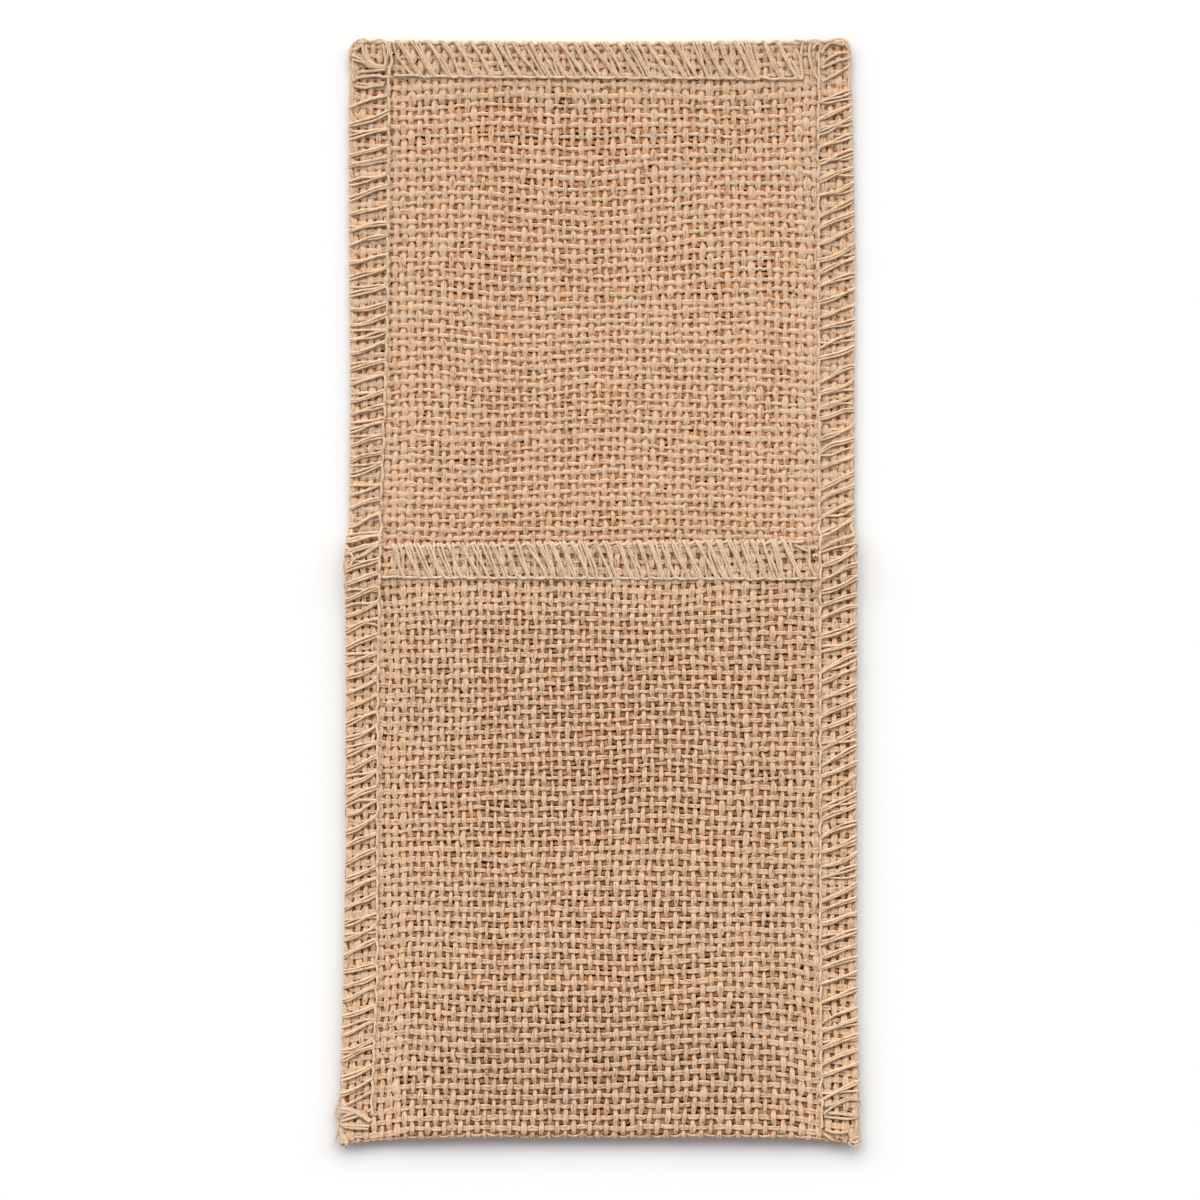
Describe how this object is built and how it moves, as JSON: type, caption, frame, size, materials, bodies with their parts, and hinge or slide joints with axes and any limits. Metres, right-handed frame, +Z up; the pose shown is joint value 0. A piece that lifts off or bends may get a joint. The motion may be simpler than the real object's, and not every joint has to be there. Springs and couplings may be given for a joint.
{
  "type": "cutlery pouch",
  "caption": "Flat cutlery pouch of open hessian, folded up at the bottom into a front pocket, with overlocked sides, top and mouth.",
  "frame": {"origin": "middle of the pouch's outline, on the surface that its back panel lies on", "axes": "+Z up out of the surface, +Y towards the top edge of the back panel, +X to the right, seen with the pocket upwards"},
  "size_m": [0.1129, 0.2402, 0.0091],
  "materials": {
    "hessian": "raw open plain weave of slubby jute yarn",
    "edging_thread": "overlocked jute-coloured thread"
  },
  "bodies": {
    "root": {"cloth": "hessian", "edging_top": "edging_thread", "edging_left": "edging_thread", "edging_right": "edging_thread", "edging_mouth": "edging_thread"}
  },
  "joints": []
}
